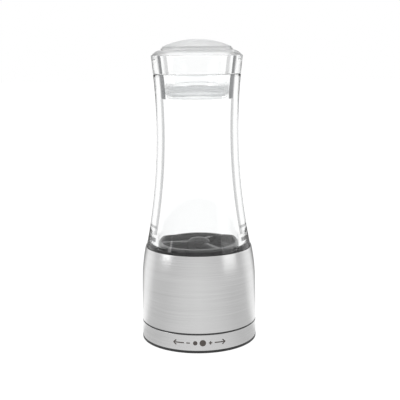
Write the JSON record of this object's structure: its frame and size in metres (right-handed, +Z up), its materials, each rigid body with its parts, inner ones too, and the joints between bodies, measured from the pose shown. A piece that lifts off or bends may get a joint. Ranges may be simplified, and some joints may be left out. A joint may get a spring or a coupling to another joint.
{
  "type": "pepper mill",
  "caption": "Waisted clear pepper mill with a domed stopper, a brushed steel base, a conical burr turned by the body and a grind ring at the foot.",
  "frame": {"origin": "centre of the foot rim, on the surface that the mill stands on", "axes": "+Z up along the turning axis, -Y towards the grind marks"},
  "size_m": [0.064, 0.064, 0.1652],
  "materials": {
    "clear_acrylic": "clear, polished",
    "seal_silicone": "translucent, satin",
    "brushed_steel": "brushed round the axis",
    "black_plastic": "fine satin moulding",
    "ceramic": "fired, unglazed",
    "spring_steel": "bright drawn wire",
    "hard_steel": "ground",
    "screw_steel": "zinc plated",
    "acetal": "smooth",
    "ink": "printed"
  },
  "bodies": {
    "base": {"steel_sleeve": "brushed_steel", "base_housing": "black_plastic", "stator_ring": "ceramic", "stator_retainer": "black_plastic", "stator_screws": "screw_steel", "glide_ring": "black_plastic"},
    "adjuster": {"adjuster_core": "black_plastic", "adjuster_band": "brushed_steel", "grind_marks": "ink"},
    "bridge": {"lift_bridge": "black_plastic", "thrust_cup": "acetal"},
    "body": {"clear_body": "clear_acrylic", "drive_carrier": "black_plastic", "drive_screws": "screw_steel", "rotor_spring": "spring_steel"},
    "rotor": {"rotor_cone": "ceramic", "drive_shaft": "hard_steel", "spring_washer": "hard_steel"},
    "cap": {"cap_stopper": "clear_acrylic", "dome_lens": "clear_acrylic", "seal_ring": "seal_silicone"}
  },
  "joints": [
    {"name": "body_turn", "type": "hinge", "parent": "base", "child": "body", "pos_m": [0, 0, 0.046], "axis": [0, 0, 1], "continuous": true},
    {"name": "adjust_turn", "type": "hinge", "parent": "base", "child": "adjuster", "pos_m": [0, 0, 0.005], "axis": [0, 0, 1], "range_deg": [-45, 45]},
    {"name": "bridge_lift", "type": "slide", "parent": "base", "child": "bridge", "axis": [0, 0, 1], "range_m": [-0.00061, 0.00061]},
    {"name": "rotor_lift", "type": "slide", "parent": "body", "child": "rotor", "axis": [0, 0, 1], "range_m": [-0.00061, 0.00061], "deforming": ["rotor_spring"]},
    {"name": "cap_lift", "type": "slide", "parent": "body", "child": "cap", "axis": [0, 0, 1], "range_m": [0, 0.014]}
  ],
  "couplings": [
    {"joint": "bridge_lift", "follows": "adjust_turn", "m_per_rad": -0.00076394},
    {"joint": "rotor_lift", "follows": "adjust_turn", "m_per_rad": -0.00076394}
  ]
}
